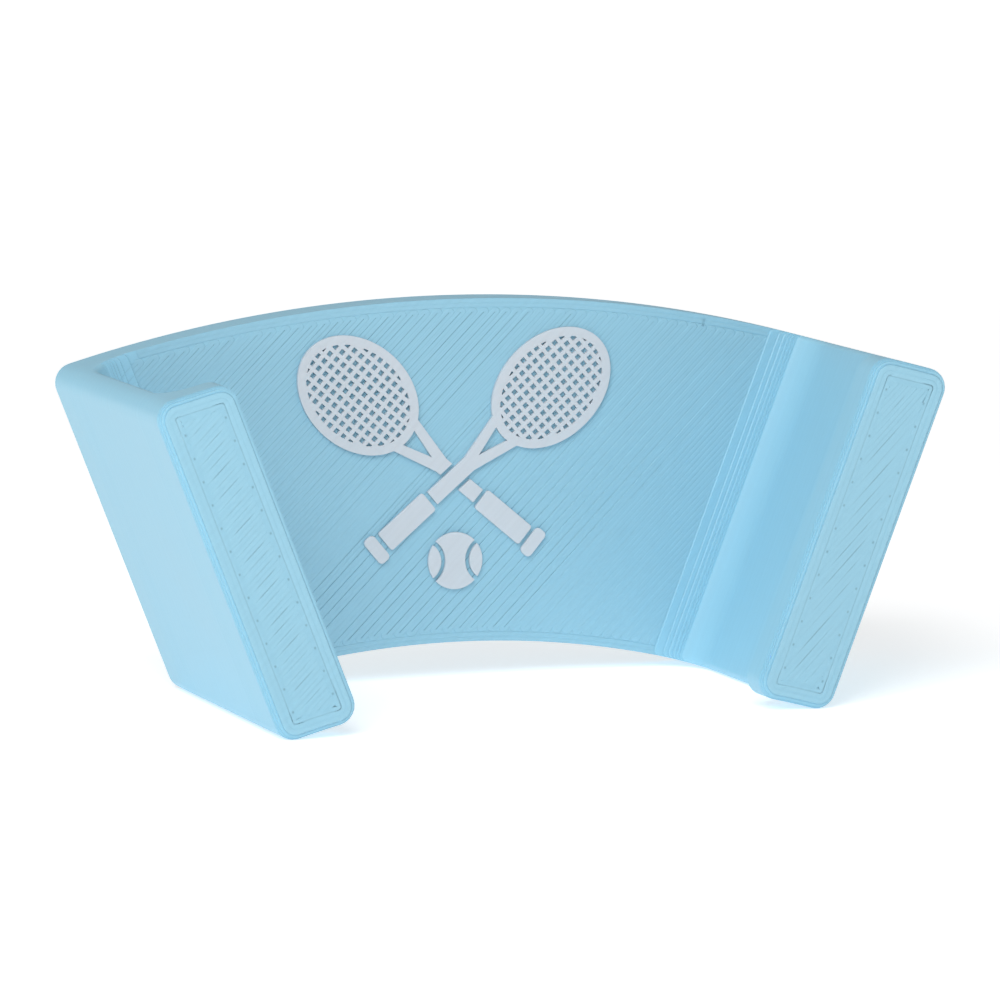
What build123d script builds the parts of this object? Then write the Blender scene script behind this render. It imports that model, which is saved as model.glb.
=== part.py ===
from build123d import *
import math
import os

# A wall holder for a racket, printed in one piece.  A fan-shaped plate goes against the wall and a
# hooked wing stands out along each of its slanted sides.  The racket's throat drops into the space
# between the wings.  A thin white emblem of separate islands lies on the front of the plate.
# Millimetres.  X runs across, +Z is up, the wall lies in the plane Y = 0 and the wings point to -Y.

# Plate
plate_height = 36.0
plate_thickness = 4.1
half_width = 38.0
side_slope_deg = 21.4
top_arc_radius = 147.4
bottom_arc_radius = 100.0
outline_corner_radius = 2.0

# Wings
wing_reach = 31.6
wing_wall = 2.8
lip_thickness = 4.0
lip_width = 8.5
plate_fillet = 5.0
lip_fillet = 3.5
lip_corner_radius = 2.0
end_edge_radius = 1.0

# Emblem
emblem_relief = 0.4
emblem_height = -0.6
line_width = 0.42
string_pitch = 0.95
piece_gap = 0.45

# Rackets of the emblem, measured along each one from its butt
racket_tilt_deg = 50.0
crossing = 12.0
butt_length = 1.4
butt_width = 3.2
butt_corner = 0.5
grip_length = 6.4
grip_width = 2.4
grip_corner = 0.3
shaft_width = 1.7
throat_rise = 2.0
throat_length = 5.2
throat_width = 4.6
throat_crotch = 1.4
throat_overlap = 0.9
shaft_overlap = 0.3
head_overlap = 0.6
head_half_length = 7.3
head_half_width = 5.5
head_rim = 0.95
gap_strip_length = 8.0

# Ball of the emblem
ball_radius = 3.0
ball_drop = 8.8
seam_radius = 2.6
seam_offset = 3.7

side_slope = math.radians(side_slope_deg)
top_arc_centre = plate_height / 2 - top_arc_radius
bottom_arc_centre = -plate_height / 2 - bottom_arc_radius
overall_depth = plate_thickness + wing_reach
far = 100.0
length_tolerance = 0.01

plate_front = Plane.XZ.offset(plate_thickness)
right_wing_section = Plane(
    origin=(half_width, -plate_thickness, 0),
    x_dir=(-math.cos(side_slope), 0, math.sin(side_slope)),
    z_dir=(math.sin(side_slope), 0, math.cos(side_slope)),
)


def side_meets_arc(arc_radius, arc_centre):
    """Where the right side line crosses an arc centred on the Z axis, as X and Z."""
    rise = math.tan(side_slope)
    a = rise**2 + 1
    b = 2 * (rise * half_width - arc_centre)
    c = half_width**2 + arc_centre**2 - arc_radius**2
    z = (-b + math.sqrt(b**2 - 4 * a * c)) / (2 * a)
    return half_width + rise * z, z


def fan_outline():
    """The plate's outline: an arc above and below, closed by two slanted sides."""
    top_x, top_z = side_meets_arc(top_arc_radius, top_arc_centre)
    low_x, low_z = side_meets_arc(bottom_arc_radius, bottom_arc_centre)
    top_arc = ThreePointArc((-top_x, top_z), (0, plate_height / 2), (top_x, top_z))
    low_arc = ThreePointArc((low_x, low_z), (0, -plate_height / 2), (-low_x, low_z))
    right_side = Line((top_x, top_z), (low_x, low_z))
    left_side = Line((-low_x, low_z), (-top_x, top_z))
    outline = make_face([top_arc, right_side, low_arc, left_side])
    return fillet(outline.vertices(), outline_corner_radius)


def beside_right_wing():
    """The space on the inner side of the right wing, from the plate's front outwards.

    It is drawn as inset from the wing's outer face and distance from the plate, so its edge is
    the wing's inner profile: a large fillet, a straight wall, a smaller fillet and the lip.
    """
    pocket = wing_reach - lip_thickness
    profile = make_face(
        Polyline(
            (wing_wall, 0),
            (wing_wall, pocket),
            (lip_width, pocket),
            (lip_width, far),
            (far, far),
            (far, 0),
            close=True,
        )
    )
    plate_corner = profile.vertices().sort_by_distance((wing_wall, 0))[0]
    profile = fillet(plate_corner, plate_fillet)
    lip_corner = profile.vertices().sort_by_distance((wing_wall, pocket))[0]
    profile = fillet(lip_corner, lip_fillet)
    return extrude(right_wing_section * profile, far, both=True)


def lip_corner_edges(body):
    """The short edges at the top and bottom of each lip, which run straight out from the wall."""
    front_half = body.edges().filter_by(Axis.Y).filter_by_position(
        Axis.Y, -overall_depth, -overall_depth + lip_thickness
    )
    return [edge for edge in front_half if abs(edge.length - lip_thickness) < length_tolerance]


def holder_body():
    """The blue body: the fan block with the space between the two wings cut out of it."""
    block = extrude(Plane.XZ * fan_outline(), overall_depth)
    right_space = beside_right_wing()
    left_space = mirror(right_space, about=Plane.YZ)
    body = block - (right_space & left_space)
    body = fillet(lip_corner_edges(body), lip_corner_radius)
    end_faces = body.faces().filter_by(Plane.XZ).sort_by(Axis.Y)[:2]
    return fillet(end_faces.edges(), end_edge_radius)


def string_grid(centre):
    """Strings clipped to the inside of the racket's head, laid along and across it."""
    inside = Ellipse(head_half_width - head_rim / 2, head_half_length - head_rim / 2)
    mains = int((head_half_width - head_rim) / string_pitch)
    crosses = int((head_half_length - head_rim) / string_pitch)
    strings = Sketch()
    for step in range(-mains, mains + 1):
        strings += Pos(step * string_pitch, 0) * Rectangle(line_width, 2 * head_half_length)
    for step in range(-crosses, crosses + 1):
        strings += Pos(0, step * string_pitch) * Rectangle(2 * head_half_width, line_width)
    return Pos(0, centre) * (strings & inside)


def racket_head():
    """Rim, strings, open throat and shaft, drawn upright with the butt at the origin."""
    shaft_start = butt_length + grip_length + 2 * piece_gap
    throat_start = crossing + throat_rise
    throat_end = throat_start + throat_length
    arm_top = throat_end + throat_overlap
    centre = throat_end + head_half_length - head_overlap
    rim_outside = Ellipse(head_half_width, head_half_length)
    rim_inside = Ellipse(head_half_width - head_rim, head_half_length - head_rim)
    rim = Pos(0, centre) * (rim_outside - rim_inside)
    arms = Sketch()
    for side in (-1, 1):
        arm = make_face(
            Polyline(
                (0, throat_start),
                (side * shaft_width / 2, throat_start),
                (side * throat_width / 2, arm_top),
                (side * (throat_width / 2 - head_rim), arm_top),
                (0, throat_start + throat_crotch),
                close=True,
            )
        )
        arms += arm
    shaft_length = throat_start + shaft_overlap - shaft_start
    shaft = Pos(0, shaft_start + shaft_length / 2) * Rectangle(shaft_width, shaft_length)
    hidden_arms = Pos(0, centre) * rim_inside
    return rim + string_grid(centre) + (arms - hidden_arms) + shaft


def racket_grip():
    """The grip, a plain bar."""
    start = butt_length + piece_gap
    grip = Pos(0, start + grip_length / 2) * Rectangle(grip_width, grip_length)
    return fillet(grip.vertices(), grip_corner)


def racket_butt():
    """The butt cap, wider than the grip."""
    butt = Pos(0, butt_length / 2) * Rectangle(butt_width, butt_length)
    return fillet(butt.vertices(), butt_corner)


def place_racket(sketch, side):
    """Lay an upright racket across the emblem, leaning to the given side."""
    upright = Pos(0, -crossing) * sketch
    return Pos(0, emblem_height) * Rot(0, 0, -side * racket_tilt_deg) * upright


def crossing_gap():
    """The strip kept clear on both sides of the front racket's shaft."""
    strip = Rectangle(shaft_width + 2 * piece_gap, gap_strip_length)
    return Pos(0, emblem_height) * Rot(0, 0, -racket_tilt_deg) * strip


def ball_islands():
    """The ball, parted by its two curved seams."""
    place = Pos(0, emblem_height - ball_drop)
    whole = Circle(ball_radius)
    seams = Sketch()
    caps = Sketch()
    for side in (-1, 1):
        cap = Pos(side * seam_offset, 0) * Circle(seam_radius)
        caps += cap
        seams += cap - Pos(side * seam_offset, 0) * Circle(seam_radius - piece_gap)
    centre = whole - caps
    sides = (whole & caps) - seams
    left, right = sides.faces().sort_by(Axis.X)
    return place * left, place * centre, place * right


def raise_island(sketch):
    """Turn a flat drawing into relief on the plate's front."""
    return extrude(plate_front * sketch, emblem_relief)


def emblem_islands():
    """Every separate island of the emblem, by name."""
    front_head = place_racket(racket_head(), 1)
    rear_upper_and_lower = place_racket(racket_head(), -1) - crossing_gap()
    rear_shaft, rear_head = rear_upper_and_lower.faces().sort_by(SortBy.AREA)
    left_ball, centre_ball, right_ball = ball_islands()
    return {
        "front_racket_head": front_head,
        "front_racket_grip": place_racket(racket_grip(), 1),
        "front_racket_butt": place_racket(racket_butt(), 1),
        "rear_racket_head": rear_head,
        "rear_racket_shaft": rear_shaft,
        "rear_racket_grip": place_racket(racket_grip(), -1),
        "rear_racket_butt": place_racket(racket_butt(), -1),
        "ball_left": left_ball,
        "ball_centre": centre_ball,
        "ball_right": right_ball,
    }


os.makedirs("parts", exist_ok=True)
export_step(holder_body(), "parts/holder_body.step")
for name, drawing in emblem_islands().items():
    export_step(raise_island(drawing), f"parts/{name}.step")
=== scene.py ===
import math
import random

import bmesh
import bpy
import numpy as np
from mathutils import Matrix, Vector


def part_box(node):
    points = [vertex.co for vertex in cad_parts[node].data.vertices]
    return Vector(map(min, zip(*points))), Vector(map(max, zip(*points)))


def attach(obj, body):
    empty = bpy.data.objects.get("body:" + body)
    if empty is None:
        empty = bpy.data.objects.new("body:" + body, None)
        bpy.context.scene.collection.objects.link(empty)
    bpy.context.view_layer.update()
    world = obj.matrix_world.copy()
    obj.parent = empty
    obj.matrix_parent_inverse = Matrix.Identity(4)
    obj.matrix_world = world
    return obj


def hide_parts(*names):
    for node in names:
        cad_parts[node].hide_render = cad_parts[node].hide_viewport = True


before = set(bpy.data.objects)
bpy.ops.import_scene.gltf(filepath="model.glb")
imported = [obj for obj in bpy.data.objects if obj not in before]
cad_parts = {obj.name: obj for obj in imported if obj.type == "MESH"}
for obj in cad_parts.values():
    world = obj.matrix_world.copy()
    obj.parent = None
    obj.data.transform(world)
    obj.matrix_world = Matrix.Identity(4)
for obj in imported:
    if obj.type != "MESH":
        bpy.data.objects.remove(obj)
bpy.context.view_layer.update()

bl_info = {
    "name": "Racket wall holder",
    "version": (1, 0, 0),
    "blender": (4, 5, 0),
    "location": "3D View > Sidebar > Holder",
    "description": "A printed wall holder for a racket, with a raised white emblem on its plate",
    "category": "Add Mesh",
}

MM = 0.001
BODY_NODE = "holder_body"
EMBLEM_NODES = sorted(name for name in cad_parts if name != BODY_NODE)
BODY_LOW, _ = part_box(BODY_NODE)
_, EMBLEM_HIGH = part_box(EMBLEM_NODES[0])


# Settings ---------------------------------------------------------------------------------------


def length(name, description, default):
    """A property in metres."""
    return bpy.props.FloatProperty(
        name=name, description=description, default=default, unit="LENGTH", precision=6
    )


def angle(name, description, degrees):
    """A property in degrees."""
    return bpy.props.FloatProperty(
        name=name, description=description, default=math.radians(degrees), subtype="ANGLE"
    )


def colour(name, description, default):
    """A linear RGB property."""
    return bpy.props.FloatVectorProperty(
        name=name, description=description, default=default, subtype="COLOR", size=3, min=0, max=1
    )


def number(name, description, default):
    """A plain number."""
    return bpy.props.FloatProperty(name=name, description=description, default=default)


def whole(name, description, default):
    """A whole number."""
    return bpy.props.IntProperty(name=name, description=description, default=default, min=0)


class BodySettings(bpy.types.PropertyGroup):
    """Sizes and colour of the blue body."""

    plate_height: length("Plate height", "Between the crowns of the two arcs", 36.0 * MM)
    plate_thickness: length("Plate thickness", "From the wall to the front", -EMBLEM_HIGH.y)
    half_width: length("Half width", "From the middle to a side, at mid height", 38.0 * MM)
    side_slope: angle("Side slope", "Lean of the sides from upright", 21.4)
    top_radius: length("Top arc radius", "Radius of the upper edge", 147.4 * MM)
    low_radius: length("Low arc radius", "Radius of the lower edge", 100.0 * MM)
    outline_corner: length("Outline corner", "Radius of the four outer corners", 2.0 * MM)
    depth: length("Depth", "From the wall to the wings' ends", -BODY_LOW.y)
    wing_wall: length("Wing wall", "Thickness of a wing", 2.8 * MM)
    lip_thickness: length("Lip thickness", "Thickness of the hook at a wing's end", 4.0 * MM)
    lip_width: length("Lip width", "Width of a wing's end", 8.5 * MM)
    plate_fillet: length("Plate fillet", "Radius where a wing meets the plate", 5.0 * MM)
    lip_fillet: length("Lip fillet", "Radius where a wing meets its lip", 3.5 * MM)
    lip_corner: length("Lip corner", "Radius of a lip's corners", 2.0 * MM)
    wall_corner: length("Wall corner", "Rounding of a wing's inner edge", 0.7 * MM)
    end_rounding: length("End rounding", "Rounding round a wing's end", 1.0 * MM)
    colour: colour("Plastic", "Blue plastic", (0.29, 0.568, 0.718))


class PrintSettings(bpy.types.PropertyGroup):
    """How the plastic was laid down."""

    first_layer: length("First layer", "Height of the layer on the bed", 0.3 * MM)
    layer: length("Layer", "Height of every other layer", 0.2 * MM)
    groove: length("Groove", "Depth of the groove between layers", 0.008 * MM)
    step_edge: length("Step edge", "Rounding of the edge of a wide step", 0.08 * MM)
    wobble: length("Wobble", "How far a layer may lie inwards", 0.005 * MM)
    waviness: number("Waviness", "How quickly the wobble changes along a layer", 160.0)
    line_width: length("Line width", "Width of one line of plastic", 0.53 * MM)
    end_line_width: length("End line width", "The same on the wings' ends", 0.72 * MM)
    border_pitch: length("Border pitch", "From one border line to the next", 0.45 * MM)
    line_crown: length("Line crown", "Height of a line's crown on a flat top", 0.03 * MM)
    line_pitch: length("Line pitch", "From one diagonal line to the next", 0.456 * MM)
    pair_squeeze: length("Pair squeeze", "How much closer the lines of a pair lie", 0.014 * MM)
    jitter: length("Jitter", "How far a diagonal line may stray", 0.012 * MM)
    border: length("Border", "From an edge to the ends of the diagonal lines", 1.22 * MM)
    end_border: length("End border", "The same on the wings' ends", 2.1 * MM)
    gap: length("Gap", "Between the second and third loops of an end", 0.17 * MM)
    seed: whole("Seed", "Seed of every random amount", 7)


class EmblemSettings(bpy.types.PropertyGroup):
    """Finish of the raised emblem."""

    colour: colour("Plastic", "White plastic", (0.56, 0.61, 0.66))
    edge: length("Edge", "Rounding of the islands' edges", 0.07 * MM)


class StageSettings(bpy.types.PropertyGroup):
    """Floor, lights and camera."""

    floor_colour: colour("Floor", "Pale floor", (0.9, 0.9, 0.9))
    floor_size: length("Floor size", "Side of the square floor", 12.0)
    azimuth: angle("Azimuth", "How far the camera stands to the left", 20.27)
    elevation: angle("Elevation", "How far the camera looks down", 7.42)
    distance: length("Distance", "From the camera to the point it looks at", 710.3 * MM)
    lens: number("Lens", "Focal length in millimetres", 244.43)
    soft_light: number("Soft light", "Strength of the white room", 0.42)


# Node trees -------------------------------------------------------------------------------------


class Value:
    """A socket that takes part in arithmetic."""

    def __init__(self, tree, socket):
        self.tree = tree
        self.socket = socket

    def maths(self, operation, first, second=0.0):
        """Add one Math node."""
        return self.tree.add("ShaderNodeMath", {"operation": operation}, {0: first, 1: second})

    def __add__(self, other):
        return self.maths("ADD", self, other)

    def __radd__(self, other):
        return self.maths("ADD", other, self)

    def __sub__(self, other):
        return self.maths("SUBTRACT", self, other)

    def __rsub__(self, other):
        return self.maths("SUBTRACT", other, self)

    def __mul__(self, other):
        return self.maths("MULTIPLY", self, other)

    def __rmul__(self, other):
        return self.maths("MULTIPLY", other, self)

    def __truediv__(self, other):
        return self.maths("DIVIDE", self, other)

    def __rtruediv__(self, other):
        return self.maths("DIVIDE", other, self)

    def __abs__(self):
        return self.maths("ABSOLUTE", self)

    def __mod__(self, other):
        return self.maths("FLOORED_MODULO", self, other)


class Tree:
    """A node tree that is filled in one way, whether it makes a shape or a finish."""

    def __init__(self, node_tree):
        self.node_tree = node_tree
        node_tree.nodes.clear()

    def add(self, kind, settings=None, inputs=None, output=0):
        """Add a node: first its settings, then the values or links of its sockets."""
        node = self.node_tree.nodes.new(kind)
        for name, setting in (settings or {}).items():
            setattr(node, name, setting)
        for key, given in (inputs or {}).items():
            if isinstance(given, Value):
                self.node_tree.links.new(given.socket, node.inputs[key])
            else:
                node.inputs[key].default_value = given
        return Value(self, node.outputs[output]) if node.outputs else node

    def smooth(self, value, low, high):
        """0 below low, 1 above high, with a soft change between them."""
        return self.add(
            "ShaderNodeMapRange", {"interpolation_type": "SMOOTHSTEP"}, {0: value, 1: low, 2: high}
        )

    def bump_at(self, value, half_width):
        """1 where the value is zero, falling softly to 0 at the given half width."""
        return 1.0 - self.smooth(abs(value), 0.0, half_width)

    def noise(self, scale, detail=2.0, dimensions="3D", vector=None, w=0.0):
        """Noise from 0 to 1."""
        inputs = {"Scale": scale, "Detail": detail}
        if dimensions == "3D":
            inputs["Vector"] = vector
        else:
            inputs["W"] = w
        return self.add("ShaderNodeTexNoise", {"noise_dimensions": dimensions}, inputs)

    def reach(self, first, second):
        """The length of two parts taken together."""
        return self.add("ShaderNodeMath", {"operation": "SQRT"}, {0: first * first + second * second})

    def least(self, first, second):
        """The smaller of two."""
        return self.add("ShaderNodeMath", {"operation": "MINIMUM"}, {0: first, 1: second})

    def mix(self, share, first, second):
        """A colour between two."""
        colours = {6: (*first, 1.0), 7: (*second, 1.0)}
        return self.add("ShaderNodeMix", {"data_type": "RGBA"}, {0: share, **colours}, output=2)

    def split(self, vector):
        """The three parts of a vector."""
        parts = self.add("ShaderNodeSeparateXYZ", inputs={0: vector})
        return parts, *(Value(self, parts.socket.node.outputs[i]) for i in (1, 2))


def shape_tree(name, sockets):
    """Start a geometry tree with named inputs, and return it with its inputs by name."""
    group = bpy.data.node_groups.new(name, "GeometryNodeTree")
    group.interface.new_socket("Geometry", in_out="INPUT", socket_type="NodeSocketGeometry")
    for label, kind in sockets:
        group.interface.new_socket(label, in_out="INPUT", socket_type=kind)
    group.interface.new_socket("Geometry", in_out="OUTPUT", socket_type="NodeSocketGeometry")
    tree = Tree(group)
    source = group.nodes.new("NodeGroupInput")
    inputs = {label: Value(tree, source.outputs[label]) for label, _ in sockets}
    inputs["Geometry"] = Value(tree, source.outputs["Geometry"])
    return tree, inputs


def end_shape_tree(tree, geometry, material):
    """Close a geometry tree with Realize Instances and Set Material."""
    real = tree.add("GeometryNodeRealizeInstances", inputs={0: geometry})
    done = tree.add("GeometryNodeSetMaterial", inputs={"Geometry": real, "Material": material})
    tree.add("NodeGroupOutput", inputs={0: done})
    return tree.node_tree


def layer_tree():
    """Let every layer lie a little further in than its neighbours, as printed layers do."""
    tree, given = shape_tree(
        "printed_layers",
        [
            ("Wobble", "NodeSocketFloat"),
            ("Waviness", "NodeSocketFloat"),
            ("Seed", "NodeSocketInt"),
            ("Material", "NodeSocketMaterial"),
        ],
    )
    layer = tree.add("GeometryNodeInputNamedAttribute", {"data_type": "INT"}, {"Name": "layer"})
    inward = tree.add(
        "GeometryNodeInputNamedAttribute", {"data_type": "FLOAT_VECTOR"}, {"Name": "inward"}
    )
    amount = tree.add(
        "FunctionNodeRandomValue", {"data_type": "FLOAT"}, {"ID": layer, "Seed": given["Seed"]}, 1
    )
    place = tree.add("GeometryNodeInputPosition")
    ripple = tree.noise(given["Waviness"], 1.0, vector=place)
    push = given["Wobble"] * amount * ripple
    offset = tree.add("ShaderNodeVectorMath", {"operation": "SCALE"}, {0: inward, "Scale": push})
    moved = tree.add("GeometryNodeSetPosition", inputs={"Geometry": given["Geometry"], "Offset": offset})
    return end_shape_tree(tree, moved, given["Material"])


RING_REACH = 0.006 * MM
TURN_POINTS = 3


def line_tree():
    """Lay a flattened round line of plastic along every path."""
    tree, given = shape_tree(
        "printed_lines",
        [
            ("Width", "NodeSocketFloat"),
            ("Crown", "NodeSocketFloat"),
            ("Surface", "NodeSocketFloat"),
            ("Turn radius", "NodeSocketFloat"),
            ("Sides", "NodeSocketInt"),
            ("Material", "NodeSocketMaterial"),
        ],
    )
    path = tree.add("GeometryNodeMeshToCurve", inputs={"Mesh": given["Geometry"]})
    turned = tree.add(
        "GeometryNodeFilletCurve",
        {"mode": "POLY"},
        {"Curve": path, "Count": TURN_POINTS, "Radius": given["Turn radius"], "Limit Radius": True},
    )
    section = tree.add(
        "GeometryNodeCurvePrimitiveCircle",
        inputs={"Resolution": given["Sides"], "Radius": given["Width"] * 0.5},
    )
    tube = tree.add(
        "GeometryNodeCurveToMesh", inputs={"Curve": turned, "Profile Curve": section, "Fill Caps": True}
    )
    clean = tree.add("GeometryNodeMergeByDistance", inputs={"Geometry": tube, "Distance": RING_REACH})
    place = tree.add("GeometryNodeInputPosition")
    across, outward, up = tree.split(place)
    flatter = given["Crown"] / (given["Width"] * 0.5)
    flat = given["Surface"] + (outward - given["Surface"]) * flatter
    moved = tree.add("ShaderNodeCombineXYZ", inputs={0: across, 1: flat, 2: up})
    pressed = tree.add("GeometryNodeSetPosition", inputs={"Geometry": clean, "Position": moved})
    soft = tree.add("GeometryNodeSetShadeSmooth", inputs={"Geometry": pressed, "Shade Smooth": True})
    return end_shape_tree(tree, soft, given["Material"])


def run_tree(name, mesh, group, values):
    """Run a geometry tree on a mesh and keep the result as a plain mesh object."""
    piece = bpy.data.objects.new(name, mesh)
    bpy.context.scene.collection.objects.link(piece)
    modifier = piece.modifiers.new(group.name, "NODES")
    modifier.node_group = group
    for item in group.interface.items_tree:
        if item.in_out == "INPUT" and item.name in values:
            modifier[item.identifier] = values[item.name]
    bpy.context.view_layer.update()
    result = bpy.data.meshes.new_from_object(piece.evaluated_get(bpy.context.evaluated_depsgraph_get()))
    piece.modifiers.clear()
    piece.data = result
    result.name = name
    bpy.data.meshes.remove(mesh)
    if not result.polygons:
        raise RuntimeError(f"{name} came out empty")
    return piece


# Finishes ---------------------------------------------------------------------------------------


DIAGONAL = 1 / math.sqrt(2)
LIGHTEST = 1.25

# Where a mask starts to change and where it is done. END_FACE is what is left to the end.
TOP_FACING = (0.75, 0.93)
PATCH_RANGE = (0.42, 0.66)
REGION_RANGE = (0.4, 0.6)
END_FACE = (0.6 * MM, 0.4 * MM)
HOLES_OFF_ARCS = (2.4 * MM, 2.8 * MM)
SEAMS_OFF_ARCS = (1.3 * MM, 1.8 * MM)
STROKES_OFF_ARCS = (3.0 * MM, 4.0 * MM)
STROKES_RISE = (2.7 * MM, 3.5 * MM)
STROKES_FALL = (4.9 * MM, 6.0 * MM)

BROAD_SCALE = 55.0
GRAIN_SCALE = 5200.0
REGION_SCALE = 70.0
LAYERS_PER_TONE = 2.5
STROKE_LENGTH = 5.0 * MM
STROKE_SHARE = 0.11
STROKE_PHASE = 0.75

HOLE_ROWS = (2.05 * MM, 6.5 * MM)
HOLE_PITCH = 2.5 * MM
HOLE_HALF_WIDTH = 0.18 * MM
HOLE_HALF_LENGTH = 0.22 * MM
GAP_INSET = 1.7 * MM
GAP_HALF_WIDTH = 0.12 * MM

# How much each mark darkens the plastic and how deep it is, as a share of the relief. The darkening of
# the pinholes and seams is painted shade in their hollows; the grain's darkening is its own tone.
GRAIN = (0.03, 0.5)
PINHOLE_SHADE_AND_DEPTH = (0.34, 3.0)
PLATE_SEAM_SHADE_AND_DEPTH = (0.1, 0.6)
END_SEAM_SHADE_AND_DEPTH = (0.3, 1.6)
GAP_SHADE = 0.13
LINE_TONE = 0.05
LAYER_TONE = 0.05
BROAD_TONE = 0.06
ROUGHNESS = 0.44
BROAD_ROUGHNESS = 0.1
GRAIN_ROUGHNESS = 0.12
RELIEF_DEPTH = 0.02 * MM


class Printed:
    """Where a shaded point lies on the print, as masks and lengths for a finish."""

    def __init__(self, tree, size, laid, end_depth):
        self.tree = tree
        self.size = size
        self.here = tree.add("ShaderNodeTexCoord", output=3)
        across, self.outward, up = tree.split(self.here)
        _, facing, _ = tree.split(tree.add("ShaderNodeNewGeometry", output=3))
        self.top = tree.smooth(abs(facing), *TOP_FACING)
        self.at_end = tree.smooth(self.outward * -1.0, *(end_depth - left for left in END_FACE))

        cosine, sine = math.cos(size.side_slope), math.sin(size.side_slope)
        self.inset = (size.half_width - abs(across)) * cosine + up * sine
        self.along = (abs(across) - size.half_width) * sine + up * cosine
        top_centre = size.plate_height / 2 - size.top_radius
        low_centre = size.plate_height / 2 + size.low_radius
        under_top = size.top_radius - tree.reach(across, up - top_centre)
        over_low = tree.reach(across, up + low_centre) - size.low_radius
        self.from_arcs = tree.least(under_top, over_low)

        self.pair = (up - across) * (DIAGONAL / (2 * laid.line_pitch))
        self.stroke = (up + across) * (DIAGONAL / STROKE_LENGTH)

    def pinholes(self):
        """Rows of small holes just inside the gap line of an end."""
        tree = self.tree
        outer, inner = (tree.bump_at(self.inset - place, HOLE_HALF_WIDTH) for place in HOLE_ROWS)
        spot = tree.bump_at(self.along % HOLE_PITCH - HOLE_PITCH / 2, HOLE_HALF_LENGTH)
        off_arcs = tree.smooth(self.from_arcs, *HOLES_OFF_ARCS)
        return (outer + inner) * spot * off_arcs * self.at_end

    def gap_line(self):
        """The line between an end's border and the diagonal lines inside it."""
        tree = self.tree
        to_side = tree.least(self.inset, self.size.lip_width - self.inset)
        to_edge = tree.least(to_side, self.from_arcs)
        return tree.bump_at(to_edge - GAP_INSET, GAP_HALF_WIDTH) * self.at_end

    def seams(self):
        """Gaps between pairs of diagonal lines: faint on the plate, short and dark on the ends, with
        painted shade in them.
        """
        tree = self.tree
        place = tree.add("ShaderNodeCombineXYZ", inputs={0: self.pair, 1: self.stroke})
        patch = tree.smooth(tree.noise(1.0, 1.0, vector=place), *PATCH_RANGE)
        region = tree.smooth(tree.noise(REGION_SCALE, 1.0, vector=self.here), *REGION_RANGE)
        seam = tree.bump_at((self.pair + STROKE_PHASE) % 1.0 - 0.5, STROKE_SHARE) * self.top
        clear = tree.smooth(self.from_arcs, *SEAMS_OFF_ARCS)
        on_plate = (0.12 + patch * 0.88) * (0.3 + region * 0.7) * clear * (1.0 - self.at_end)
        past_border = tree.smooth(self.inset, *STROKES_RISE)
        before_border = 1.0 - tree.smooth(self.inset, *STROKES_FALL)
        off_arcs = tree.smooth(self.from_arcs, *STROKES_OFF_ARCS)
        on_end = (0.3 + patch * 0.7) * past_border * before_border * off_arcs * self.at_end
        return seam * on_plate, seam * on_end


def plastic(name, base, end_depth, stroke):
    """Matte printed plastic: faint layers on the walls, faint lines on the tops, a fine grain, and
    painted shade in the pinholes, the gap line and the seams.
    """
    size, laid = bpy.context.scene.holder_body, bpy.context.scene.holder_print
    material = bpy.data.materials.new(name)
    material.use_nodes = True
    tree = Tree(material.node_tree)
    printed = Printed(tree, size, laid, end_depth)
    pinhole, gap_line = printed.pinholes(), printed.gap_line()
    plate_seam, end_seam = printed.seams()
    line_tone = tree.noise(1.0, 0.0, "1D", w=printed.pair * 2.0)
    layer_tone = tree.noise(1.0, 1.0, "1D", w=printed.outward * (1 / (LAYERS_PER_TONE * laid.layer)))
    broad_tone = tree.noise(BROAD_SCALE, 2.0, vector=printed.here)
    grain = tree.noise(GRAIN_SCALE, 3.0, vector=printed.here)

    shade = (
        1.0
        + (line_tone - 0.5) * printed.top * LINE_TONE
        + (layer_tone - 0.5) * (1.0 - printed.top) * LAYER_TONE
        + (broad_tone - 0.5) * BROAD_TONE
        + (grain - 0.5) * GRAIN[0]
        # Painted shade: darker in the pinholes, the gap line and the seams, where shade falls in their
        # hollows.
        - pinhole * PINHOLE_SHADE_AND_DEPTH[0]
        - gap_line * GAP_SHADE
        - plate_seam * (PLATE_SEAM_SHADE_AND_DEPTH[0] * stroke)
        - end_seam * END_SEAM_SHADE_AND_DEPTH[0]
    )
    height = (
        grain * GRAIN[1]
        - pinhole * PINHOLE_SHADE_AND_DEPTH[1]
        - plate_seam * (PLATE_SEAM_SHADE_AND_DEPTH[1] * stroke)
        - end_seam * END_SEAM_SHADE_AND_DEPTH[1]
    )
    roughness = ROUGHNESS + (broad_tone - 0.5) * BROAD_ROUGHNESS + (grain - 0.5) * GRAIN_ROUGHNESS
    lightest = tuple(min(1.0, part * LIGHTEST) for part in base)
    tint = tree.mix(shade * (1 / LIGHTEST), (0.0, 0.0, 0.0), lightest)
    relief = tree.add(
        "ShaderNodeBump", inputs={"Strength": 0.3, "Distance": RELIEF_DEPTH, "Height": height}
    )
    shader = tree.add(
        "ShaderNodeBsdfPrincipled",
        inputs={
            "Base Color": tint,
            "Roughness": roughness,
            "Normal": relief,
            "Specular IOR Level": 0.5,
            "Subsurface Weight": 0.12,
            "Subsurface Scale": 1.2 * MM,
            "Subsurface Radius": (0.6, 0.9, 1.0),
        },
    )
    tree.add("ShaderNodeOutputMaterial", inputs={0: shader})
    return material


def body_plastic():
    """The blue plastic, with the marks of the wings' ends."""
    name = "blue_printed_plastic"
    size = bpy.context.scene.holder_body
    return bpy.data.materials.get(name) or plastic(name, size.colour, size.depth, 1.0)


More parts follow.
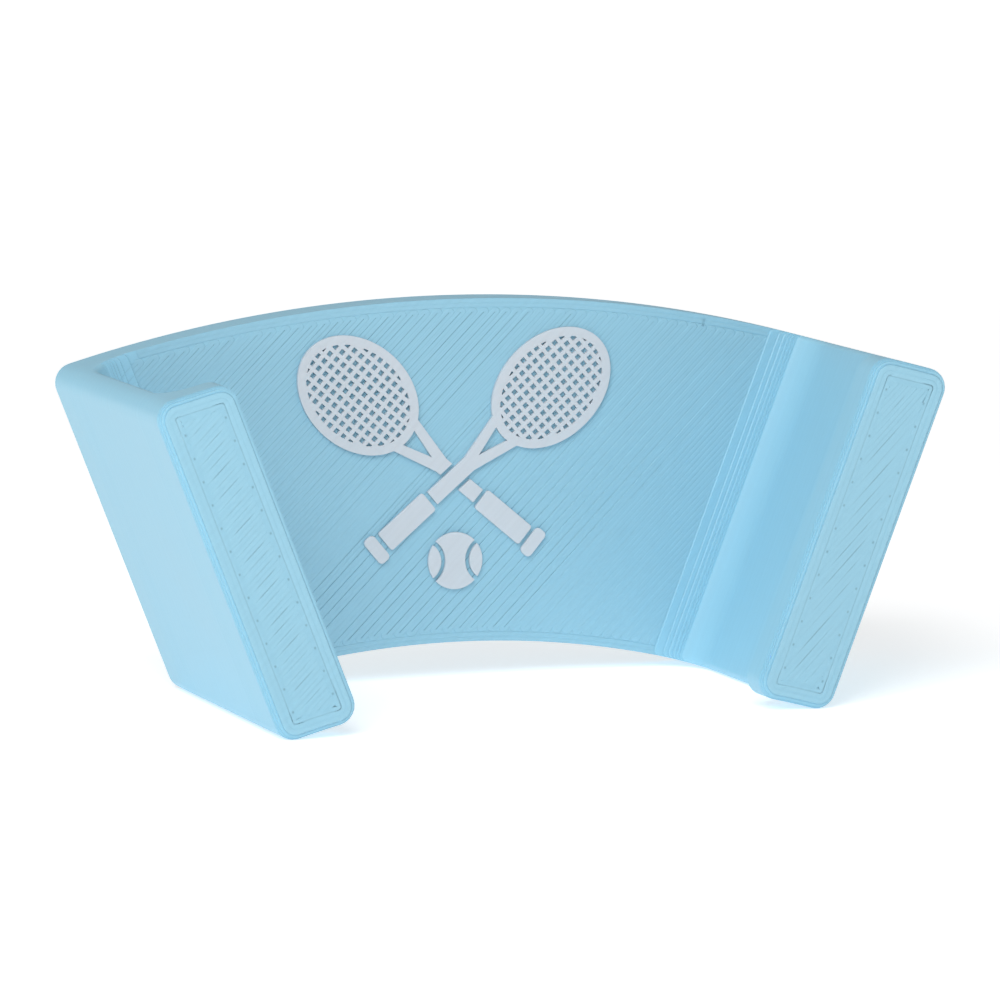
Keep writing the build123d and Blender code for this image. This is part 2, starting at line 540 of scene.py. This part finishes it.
def emblem_plastic():
    """The white plastic. Its end marks lie beyond the holder, so none show."""
    name = "white_printed_plastic"
    scene = bpy.context.scene
    beyond = 2 * scene.holder_body.depth
    return bpy.data.materials.get(name) or plastic(name, scene.holder_emblem.colour, beyond, 0.12)


# Painted light: the floor glows with light of its own, weaker near the holder, which washes out the
# shadows on it.
NEAR_GLOW = 0.6
FLOOR_GLOW = 0.85
GLOW_REACH = (0.2, 0.8)


def stage_white(name, base):
    """Plain matte paint for the floor, with a painted glow: it gives off light of its own, more where it
    runs away from the holder.
    """
    material = bpy.data.materials.new(name)
    material.use_nodes = True
    tree = Tree(material.node_tree)
    across, depth, _ = tree.split(tree.add("ShaderNodeTexCoord", output=3))
    away = tree.smooth(tree.reach(across, depth), *GLOW_REACH)
    shader = tree.add(
        "ShaderNodeBsdfPrincipled",
        inputs={
            "Base Color": (*base, 1.0),
            "Roughness": 0.9,
            "Specular IOR Level": 0.1,
            "Emission Color": tree.mix(away, tuple(part * NEAR_GLOW for part in base), base),
            "Emission Strength": FLOOR_GLOW,
        },
    )
    tree.add("ShaderNodeOutputMaterial", inputs={0: shader})
    return material


# The holder's outline ---------------------------------------------------------------------------

ARC_STEPS = 4
CORNER_STEPS = 8
INNER_CORNER_STEPS = 6
SIDE_STEPS = 10
MIDDLE_STEPS = 44
SMALLEST_CORNER = 0.1 * MM


def unit(vector):
    """The same direction, one long."""
    return vector / np.linalg.norm(vector)


def turn(centre, start, end, steps):
    """Points round a centre from start to end, the last one left out."""
    first = math.atan2(*(start - centre)[::-1])
    last = math.atan2(*(end - centre)[::-1])
    sweep = (last - first + math.pi) % (2 * math.pi) - math.pi
    angles = first + sweep * np.arange(steps) / steps
    radius = np.linalg.norm(start - centre)
    return centre + radius * np.column_stack((np.cos(angles), np.sin(angles)))


def straight(start, end, steps):
    """Points on a line from start to end, the last one left out."""
    return start + (end - start) * (np.arange(steps) / steps)[:, None]


class Fan:
    """The fan outline: the right side line, the two arcs and what lies inside them."""

    def __init__(self, size):
        slope = size.side_slope
        self.foot = np.array([size.half_width, 0.0])
        self.inward = np.array([-math.cos(slope), math.sin(slope)])
        self.along = np.array([math.sin(slope), math.cos(slope)])
        self.corner = size.outline_corner
        half_height = size.plate_height / 2
        self.top = (np.array([0.0, half_height - size.top_radius]), size.top_radius, -1)
        self.low = (np.array([0.0, -half_height - size.low_radius]), size.low_radius, 1)

    def meet(self, inset, arc, shrink):
        """Where the line at an inset from the side meets an arc moved inwards."""
        centre, radius, grows = arc
        start = self.foot + inset * self.inward - centre
        ahead = self.along @ start
        reach = -ahead + math.sqrt(ahead**2 - start @ start + (radius + grows * shrink) ** 2)
        return start + centre + reach * self.along

    def rounded(self, line, facing, arc, shrink, radius):
        """A corner's centre and its two ends: on the straight line and on the arc."""
        radius = max(radius - shrink, SMALLEST_CORNER)
        centre = self.meet(line + facing * (shrink + radius), arc, shrink + radius)
        on_line = centre - facing * radius * self.inward
        on_arc = centre - arc[2] * radius * unit(centre - arc[0])
        return centre, on_line, on_arc

    def outer_chain(self, width, corner, shrink=0.0):
        """From the low inner corner out round the side to the top inner corner."""
        _, _, start = self.rounded(width, -1, self.low, shrink, corner)
        low, low_line, low_arc = self.rounded(0.0, 1, self.low, shrink, self.corner)
        high, high_line, high_arc = self.rounded(0.0, 1, self.top, shrink, self.corner)
        _, _, end = self.rounded(width, -1, self.top, shrink, corner)
        return np.vstack(
            (
                turn(self.low[0], start, low_arc, ARC_STEPS),
                turn(low, low_arc, low_line, CORNER_STEPS),
                straight(low_line, high_line, SIDE_STEPS),
                turn(high, high_line, high_arc, CORNER_STEPS),
                turn(self.top[0], high_arc, end, ARC_STEPS),
                end[None],
            )
        )

    def inner_chain(self, width, corner, shrink=0.0):
        """The rest of a wing's outline, from the top inner corner down to the low one."""
        high, high_line, high_arc = self.rounded(width, -1, self.top, shrink, corner)
        low, low_line, low_arc = self.rounded(width, -1, self.low, shrink, corner)
        return np.vstack(
            (
                turn(high, high_arc, high_line, INNER_CORNER_STEPS)[1:],
                straight(high_line, low_line, SIDE_STEPS),
                turn(low, low_line, low_arc, INNER_CORNER_STEPS),
            )
        )

    def wing_outline(self, width, corner, shrink=0.0):
        """A wing's whole outline at one layer."""
        return np.vstack(
            (self.outer_chain(width, corner, shrink), self.inner_chain(width, corner, shrink))
        )

    def plate_outline(self, width, corner, shrink=0.0):
        """The plate's whole outline, starting with the right wing's outer chain."""
        right = self.outer_chain(width, corner, shrink)
        left = mirrored(right)[::-1]
        return np.vstack(
            (
                right,
                turn(self.top[0], right[-1], left[0], MIDDLE_STEPS)[1:],
                left,
                turn(self.low[0], left[-1], right[0], MIDDLE_STEPS)[1:],
            )
        )

    def inset(self, points):
        """How far points lie inside the nearer side line."""
        away = np.column_stack((np.abs(points[:, 0]), points[:, 1])) - self.foot
        return away @ self.inward

    def between_arcs(self, points, margin):
        """Which points lie inside both arcs by more than a margin."""
        below_top = np.linalg.norm(points - self.top[0], axis=1) < self.top[1] - margin
        above_low = np.linalg.norm(points - self.low[0], axis=1) > self.low[1] + margin
        return below_top & above_low


def mirrored(points):
    """The same points on the other side."""
    return points * np.array([-1.0, 1.0])


def wing_width(size, depth):
    """How wide a wing is at a distance from the plate's front."""
    pocket = size.depth - size.plate_thickness - size.lip_thickness
    if depth > pocket:
        return size.lip_width
    if depth < size.plate_fillet:
        rise = size.plate_fillet - depth
        return size.wing_wall + size.plate_fillet - math.sqrt(size.plate_fillet**2 - rise**2)
    rise = max(0.0, depth - pocket + size.lip_fillet)
    return size.wing_wall + size.lip_fillet - math.sqrt(size.lip_fillet**2 - rise**2)


def end_shrink(size, left):
    """How far the outline draws in at a distance from a wing's end."""
    rise = max(0.0, size.end_rounding - left)
    return size.end_rounding - math.sqrt(size.end_rounding**2 - rise**2)


class LayerStack:
    """Rings of points that are bridged into one closed skin."""

    def __init__(self):
        self.places = []
        self.inward = []
        self.layer = []
        self.faces = []

    def ring(self, outline, moved_in, depth, layer):
        """Add a ring, with the way that each of its points moves when the outline draws in."""
        first = len(self.places)
        for (x, z), (inner_x, inner_z) in zip(outline, moved_in):
            way = Vector((inner_x - x, 0.0, inner_z - z))
            self.places.append((x, -depth, z))
            self.inward.append(way.normalized() if way.length > 0 else way)
            self.layer.append(layer)
        return list(range(first, len(self.places)))

    def bridge(self, lower, upper):
        """Join two rings."""
        for here in range(len(lower)):
            after = (here + 1) % len(lower)
            self.faces.append((lower[here], lower[after], upper[after], upper[here]))

    def mesh(self, name):
        """The skin as a mesh with its attributes, facing outwards."""
        mesh = bpy.data.meshes.new(name)
        mesh.from_pydata(self.places, [], self.faces)
        layer = mesh.attributes.new("layer", "INT", "POINT")
        layer.data.foreach_set("value", self.layer)
        inward = mesh.attributes.new("inward", "FLOAT_VECTOR", "POINT")
        inward.data.foreach_set("vector", [part for way in self.inward for part in way])
        work = bmesh.new()
        work.from_mesh(mesh)
        bmesh.ops.recalc_face_normals(work, faces=work.faces)
        work.to_mesh(mesh)
        work.free()
        return mesh


# Rings of a layer: how far up it each lies, and its share of the groove's depth
STEP_RINGS = ((0.0, 1.0), (0.3, 0.0), (0.6, 0.0), (1.0, 1.0))
WALL_RINGS = ((0.5, 0.0), (1.0, 1.0))
STEP_CHANGE = 0.004 * MM
NARROW_TREAD = 0.22 * MM
OUTLINE_SAMPLE = 0.15
NUDGE = 0.001 * MM


def sampled_width(size, laid, depth):
    """How wide a wing's layer is printed, for a layer that starts at a depth."""
    return wing_width(size, depth + OUTLINE_SAMPLE * laid.layer)


class Skin:
    """The holder's skin, layer by layer: the plate, then a wing on each side of it."""

    def __init__(self, size, laid):
        self.size = size
        self.laid = laid
        self.fan = Fan(size)
        self.stack = LayerStack()
        self.base_width = sampled_width(size, laid, 0.0)
        self.plate_front = size.plate_thickness - laid.line_crown

    def ring(self, draw, width, corner, shrink, depth, layer, side=1):
        """Add the outline that a method of the fan draws."""
        outline = draw(width, corner, shrink)
        moved = draw(width, corner, shrink + NUDGE)
        if side < 0:
            outline, moved = mirrored(outline), mirrored(moved)
        return self.stack.ring(outline, moved, depth, layer)

    def plate_ring(self, depth, groove, layer):
        """Add a ring of the plate."""
        corner = self.size.wall_corner
        return self.ring(self.fan.plate_outline, self.base_width, corner, groove, depth, layer)

    def plate(self):
        """Stack the plate's layers, and return the last ring and how many layers there are."""
        laid, front = self.laid, self.plate_front
        last = self.plate_ring(0.0, laid.groove, 0)
        self.stack.faces.append(tuple(last))
        foot = 0.0
        layer = 0
        while foot < front - laid.layer / 4:
            height = laid.layer if layer else laid.first_layer
            head = min(foot + height, front)
            for share, recess in WALL_RINGS:
                groove = 0.0 if head >= front else recess * laid.groove
                ring = self.plate_ring(foot + share * (head - foot), groove, layer)
                self.stack.bridge(last, ring)
                last = ring
            foot = head
            layer += 1
        return last, layer

    def wing(self, side, outer, first_layer):
        """Stack a wing on the plate's outer points, and return its inner points on the plate."""
        size, laid = self.size, self.laid
        inner = self.ring(
            self.fan.inner_chain, self.base_width, size.wall_corner, 0.0, self.plate_front,
            first_layer, side,
        )
        last = outer + inner
        reach = size.depth - size.plate_thickness
        count = round(reach / laid.layer)
        before = None
        for step in range(count):
            low = step * laid.layer
            width = sampled_width(size, laid, low)
            corner = size.lip_corner if width == size.lip_width else size.wall_corner
            shrink = end_shrink(size, reach - low - laid.layer / 2)
            now = (width, corner, shrink)
            stepped = before is None or any(abs(a - b) > STEP_CHANGE for a, b in zip(now, before))
            tread = width - sampled_width(size, laid, low + laid.layer)
            is_slope = abs(tread) < NARROW_TREAD
            edge = min(laid.step_edge, max(0.0, tread - NARROW_TREAD) / 2)
            is_last = step == count - 1
            height = laid.layer - (laid.line_crown if is_last else 0.0)
            for share, recess in STEP_RINGS if stepped or is_last else WALL_RINGS:
                is_head = share == 1.0
                if before is None and share == 0.0:
                    continue
                groove = 0.0 if is_last and is_head else recess * laid.groove
                cut = share * tread if is_slope else edge * is_head
                depth = size.plate_thickness + low + share * height
                ring = self.ring(
                    self.fan.wing_outline, width - cut, corner, shrink + groove, depth,
                    first_layer + step, side,
                )
                self.stack.bridge(last, ring)
                last = ring
            before = now
        self.stack.faces.append(tuple(last))
        return inner

    def mesh(self):
        """Stack everything, and close the plate's front between the wings."""
        front, first_layer = self.plate()
        chain = len(self.fan.outer_chain(self.base_width, self.size.wall_corner))
        middle = MIDDLE_STEPS - 1
        right = front[:chain]
        top_middle = front[chain : chain + middle]
        left = front[chain + middle : 2 * chain + middle]
        low_middle = front[2 * chain + middle :]
        right_inner = self.wing(1, right, first_layer)
        left_inner = self.wing(-1, left[::-1], first_layer)
        self.stack.faces.append(
            tuple(
                right[-1:] + top_middle + left[:1] + left_inner
                + left[-1:] + low_middle + right[:1] + right_inner[::-1]
            )
        )
        return self.stack.mesh("holder_skin")


# Printed lines ----------------------------------------------------------------------------------

SAMPLE = 0.04 * MM
SEAM_STEP = 5
JOIN_REACH = 2.2
BREAK_CHANCE = 0.04
SHORTEST_LINE = 0.25 * MM
BURIED = 0.6 * MM
PLATE_REGION = 1.2
END_REGION = 1.3
END_SQUEEZE = 1.6
SECTION_SIDES = 12


def diagonal_runs(inside, size, laid, region, squeeze, rng):
    """Diagonal lines inside a shape, each as a line number, a start and an end.

    They are looked for in a box that is larger than the plate's middle by the region's factor.
    """
    way = np.array([1.0, 1.0]) * DIAGONAL
    side = np.array([-1.0, 1.0]) * DIAGONAL
    pitch, jitter = laid.line_pitch, laid.jitter
    x_reach, z_reach = size.half_width * region, size.plate_height / 2 * region
    corners = np.array([(x, z) for x in (-x_reach, x_reach) for z in (-z_reach, z_reach)])
    first, last = (corners @ side).min(), (corners @ side).max()
    start, end = (corners @ way).min(), (corners @ way).max()
    steps = np.arange(start, end, SAMPLE)
    runs = []
    for number in range(math.floor(first / pitch), math.ceil(last / pitch)):
        shift = squeeze / 2 if number % 2 == 0 else -squeeze / 2
        offset = number * pitch + shift + rng.uniform(-jitter, jitter)
        points = side * offset + way * steps[:, None]
        within = inside(points).astype(int)
        edges = np.flatnonzero(np.diff(np.concatenate(([0], within, [0]))))
        for enter, leave in zip(edges[::2], edges[1::2] - 1):
            if (leave - enter) * SAMPLE > SHORTEST_LINE:
                runs.append((number, points[enter], points[leave]))
    return runs


def join_runs(runs, pitch, rng):
    """Join neighbouring lines end to end into zigzag paths."""
    paths = []
    ends = {}
    for number, low, high in runs:
        forward = number % 2 == 0
        start, end = (low, high) if forward else (high, low)
        path = ends.pop(number - 1, None)
        near = path is not None and np.linalg.norm(path[-1] - start) < JOIN_REACH * pitch
        if not near or rng.random() < BREAK_CHANCE:
            path = []
            paths.append(path)
        path.extend((start, end))
        ends[number] = path
    return paths


def path_mesh(name, paths, depth):
    """Paths in the plate's plane as a mesh of edges. A path is its points and whether it closes."""
    places, edges = [], []
    for points, closed in paths:
        first = len(places)
        places.extend((x, -depth, z) for x, z in points)
        edges.extend((first + i, first + i + 1) for i in range(len(points) - 1))
        if closed:
            edges.append((len(places) - 1, first))
    mesh = bpy.data.meshes.new(name)
    mesh.from_pydata(places, edges, [])
    return mesh


def lay_lines(name, paths, top, width, laid):
    """Lay lines of plastic along paths, with their crowns at the given depth."""
    depth = top - laid.line_crown
    return run_tree(
        name,
        path_mesh(name + "_paths", paths, depth),
        bpy.data.node_groups.get("printed_lines") or line_tree(),
        {
            "Width": width, "Crown": laid.line_crown, "Surface": -depth,
            "Turn radius": laid.line_pitch / 3, "Sides": SECTION_SIDES, "Material": body_plastic(),
        },
    )


def plate_paths(size, laid, rng):
    """Two border lines along each arc, and diagonal lines between them."""
    fan = Fan(size)
    hidden = sampled_width(size, laid, 0.0) - BURIED
    paths = []
    for arc in (fan.top, fan.low):
        for number in range(2):
            shrink = laid.line_width / 2 + number * laid.border_pitch
            right = fan.meet(hidden, arc, shrink)
            way_round = turn(arc[0], right, mirrored(right), MIDDLE_STEPS)
            if arc is fan.top:
                # The line starts and ends in a small seam
                start = way_round[SEAM_STEP] - np.array([0.0, laid.line_width])
                paths.append((np.vstack((way_round[: SEAM_STEP + 1], start)), False))
                paths.append((np.vstack((start, way_round[SEAM_STEP:])), False))
            else:
                paths.append((way_round, False))

    def inside(points):
        return fan.between_arcs(points, laid.border) & (fan.inset(points) > hidden)

    runs = diagonal_runs(inside, size, laid, PLATE_REGION, laid.pair_squeeze, rng)
    paths.extend((points, False) for points in join_runs(runs, laid.line_pitch, rng))
    return paths


def end_paths(size, laid, side, rng):
    """Three border loops round a wing's end, and diagonal lines inside them."""
    fan = Fan(size)
    flat_from = end_shrink(size, laid.layer / 2)
    paths = []
    for number in range(3):
        apart = laid.gap if number == 2 else 0.0
        shrink = flat_from + laid.end_line_width / 2 + number * laid.border_pitch + apart
        loop = fan.wing_outline(size.lip_width, size.lip_corner, shrink)
        paths.append((mirrored(loop) if side < 0 else loop, True))

    def inside(points):
        inset = fan.inset(points)
        in_width = (inset > laid.end_border) & (inset < size.lip_width - laid.end_border)
        return fan.between_arcs(points, laid.end_border) & in_width & (side * points[:, 0] > 0)

    squeeze = laid.pair_squeeze * END_SQUEEZE
    runs = diagonal_runs(inside, size, laid, END_REGION, squeeze, rng)
    paths.extend((points, False) for points in join_runs(runs, laid.line_pitch, rng))
    return paths


# Emblem -----------------------------------------------------------------------------------------

MERGE_REACH = 0.002 * MM
FLAT_ANGLE = math.radians(0.5)
EDGE_ANGLE = math.radians(50)
EDGE_STEPS = 2


def emblem_island(node, size, material):
    """A raised island with soft edges, made from the solid's own outline."""
    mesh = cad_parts[node].data.copy()
    mesh.name = node + "_print"
    work = bmesh.new()
    work.from_mesh(mesh)
    bmesh.ops.remove_doubles(work, verts=work.verts, dist=MERGE_REACH)
    bmesh.ops.dissolve_limit(work, angle_limit=FLAT_ANGLE, verts=work.verts, edges=work.edges)
    work.to_mesh(mesh)
    work.free()
    mesh.materials.clear()
    mesh.materials.append(material)
    piece = bpy.data.objects.new(mesh.name, mesh)
    bpy.context.scene.collection.objects.link(piece)
    soft = piece.modifiers.new("soft_edges", "BEVEL")
    soft.width = size.edge
    soft.segments = EDGE_STEPS
    soft.limit_method = "ANGLE"
    soft.angle_limit = EDGE_ANGLE
    bpy.context.view_layer.update()
    rounded = bpy.data.meshes.new_from_object(piece.evaluated_get(bpy.context.evaluated_depsgraph_get()))
    piece.modifiers.clear()
    piece.data = rounded
    rounded.shade_flat()
    rounded.name = mesh.name
    return piece


# Operators --------------------------------------------------------------------------------------


SHARP_ANGLE = math.radians(38)


class HOLDER_OT_body(bpy.types.Operator):
    """Make the blue body, layer by layer"""

    bl_idname = "holder.body"
    bl_label = "Body"

    def execute(self, context):
        size, laid = context.scene.holder_body, context.scene.holder_print
        piece = run_tree(
            "holder_body_print",
            Skin(size, laid).mesh(),
            layer_tree(),
            {
                "Wobble": laid.wobble, "Waviness": laid.waviness, "Seed": laid.seed,
                "Material": body_plastic(),
            },
        )
        piece.data.shade_smooth()
        piece.data.set_sharp_from_angle(angle=SHARP_ANGLE)
        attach(piece, "root")
        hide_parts(BODY_NODE)
        return {"FINISHED"}


class HOLDER_OT_surface_lines(bpy.types.Operator):
    """Lay the printed lines on the plate's front and on both wings' ends"""

    bl_idname = "holder.surface_lines"
    bl_label = "Surface lines"

    def execute(self, context):
        size, laid = context.scene.holder_body, context.scene.holder_print
        rng = random.Random(laid.seed)
        jobs = (
            ("plate_front_lines", plate_paths(size, laid, rng), size.plate_thickness, laid.line_width),
            ("right_end_lines", end_paths(size, laid, 1, rng), size.depth, laid.end_line_width),
            ("left_end_lines", end_paths(size, laid, -1, rng), size.depth, laid.end_line_width),
        )
        for name, paths, top, width in jobs:
            piece = lay_lines(name, paths, top, width, laid)
            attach(piece, "root")
        return {"FINISHED"}


class HOLDER_OT_emblem(bpy.types.Operator):
    """Make every raised island of the emblem"""

    bl_idname = "holder.emblem"
    bl_label = "Emblem"

    def execute(self, context):
        for node in EMBLEM_NODES:
            piece = emblem_island(node, context.scene.holder_emblem, emblem_plastic())
            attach(piece, "root")
            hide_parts(node)
        return {"FINISHED"}


AIM = Vector((5.647, -2.572, -3.503)) * MM
SENSOR_WIDTH = 36.0
FAR_CLIP = 100.0

# Name, place and side in metres, power in watts
SOFTBOXES = (
    ("key", Vector((-0.36, -0.5, 0.5)), 0.45, 3.8),
    ("side", Vector((-0.62, -0.5, 0.16)), 0.4, 0.35),
)


def softbox(name, place, side, power):
    """A square soft light aimed at the holder's origin."""
    light = bpy.data.lights.new(name, "AREA")
    light.shape = "SQUARE"
    light.size = side
    light.energy = power
    lamp = bpy.data.objects.new(name, light)
    bpy.context.scene.collection.objects.link(lamp)
    lamp.location = place
    lamp.rotation_euler = (-place).to_track_quat("-Z", "Y").to_euler()


def lay_floor(stage):
    """The pale floor that the holder stands on."""
    half, level = stage.floor_size / 2, BODY_LOW.z
    corners = [(-half, -half, level), (half, -half, level), (half, half, level), (-half, half, level)]
    mesh = bpy.data.meshes.new("floor")
    mesh.from_pydata(corners, [], [(0, 1, 2, 3)])
    mesh.materials.append(stage_white("floor_paint_and_glow", stage.floor_colour))
    floor = bpy.data.objects.new("floor", mesh)
    bpy.context.scene.collection.objects.link(floor)


def white_room(strength):
    """A white world."""
    world = bpy.data.worlds.new("white_room")
    world.use_nodes = True
    tree = Tree(world.node_tree)
    room = tree.add("ShaderNodeBackground", inputs={0: (1, 1, 1, 1), 1: strength})
    tree.add("ShaderNodeOutputWorld", inputs={0: room})
    return world


def place_camera(stage):
    """The camera, to the left of the holder and a little above it."""
    camera = bpy.data.cameras.new("camera")
    camera.lens = stage.lens
    camera.sensor_width = SENSOR_WIDTH
    camera.clip_end = FAR_CLIP
    viewer = bpy.data.objects.new("camera", camera)
    bpy.context.scene.collection.objects.link(viewer)
    level = math.cos(stage.elevation)
    forward = Vector(
        (
            math.sin(stage.azimuth) * level,
            math.cos(stage.azimuth) * level,
            -math.sin(stage.elevation),
        )
    )
    viewer.location = AIM - forward * stage.distance
    viewer.rotation_euler = forward.to_track_quat("-Z", "Y").to_euler()
    return viewer


class HOLDER_OT_stage(bpy.types.Operator):
    """Make the floor, the lights and the camera"""

    bl_idname = "holder.stage"
    bl_label = "Stage"

    def execute(self, context):
        scene = context.scene
        stage = scene.holder_stage
        lay_floor(stage)
        scene.world = white_room(stage.soft_light)
        for light in SOFTBOXES:
            softbox(*light)
        scene.view_settings.view_transform = "Standard"
        scene.camera = place_camera(stage)
        return {"FINISHED"}


class HOLDER_PT_panel(bpy.types.Panel):
    """The holder's operators and their settings."""

    bl_label = "Racket wall holder"
    bl_idname = "HOLDER_PT_panel"
    bl_space_type = "VIEW_3D"
    bl_region_type = "UI"
    bl_category = "Holder"

    def draw(self, context):
        for name, operator in zip(SETTINGS, OPERATORS):
            box = self.layout.box()
            settings = getattr(context.scene, name)
            for key in settings.__annotations__:
                box.prop(settings, key)
            box.operator(operator.bl_idname)


SETTINGS = {
    "holder_body": BodySettings,
    "holder_print": PrintSettings,
    "holder_emblem": EmblemSettings,
    "holder_stage": StageSettings,
}
OPERATORS = (HOLDER_OT_body, HOLDER_OT_surface_lines, HOLDER_OT_emblem, HOLDER_OT_stage)


def register():
    for name, group in SETTINGS.items():
        bpy.utils.register_class(group)
        setattr(bpy.types.Scene, name, bpy.props.PointerProperty(type=group))
    for kind in (*OPERATORS, HOLDER_PT_panel):
        bpy.utils.register_class(kind)


def unregister():
    for kind in reversed((*OPERATORS, HOLDER_PT_panel)):
        bpy.utils.unregister_class(kind)
    for name, group in SETTINGS.items():
        delattr(bpy.types.Scene, name)
        bpy.utils.unregister_class(group)


def main():
    """Make the holder and its stage."""
    register()
    bpy.ops.holder.body()
    bpy.ops.holder.surface_lines()
    bpy.ops.holder.emblem()
    bpy.ops.holder.stage()
    bpy.context.view_layer.update()


if __name__ == "__main__":
    main()
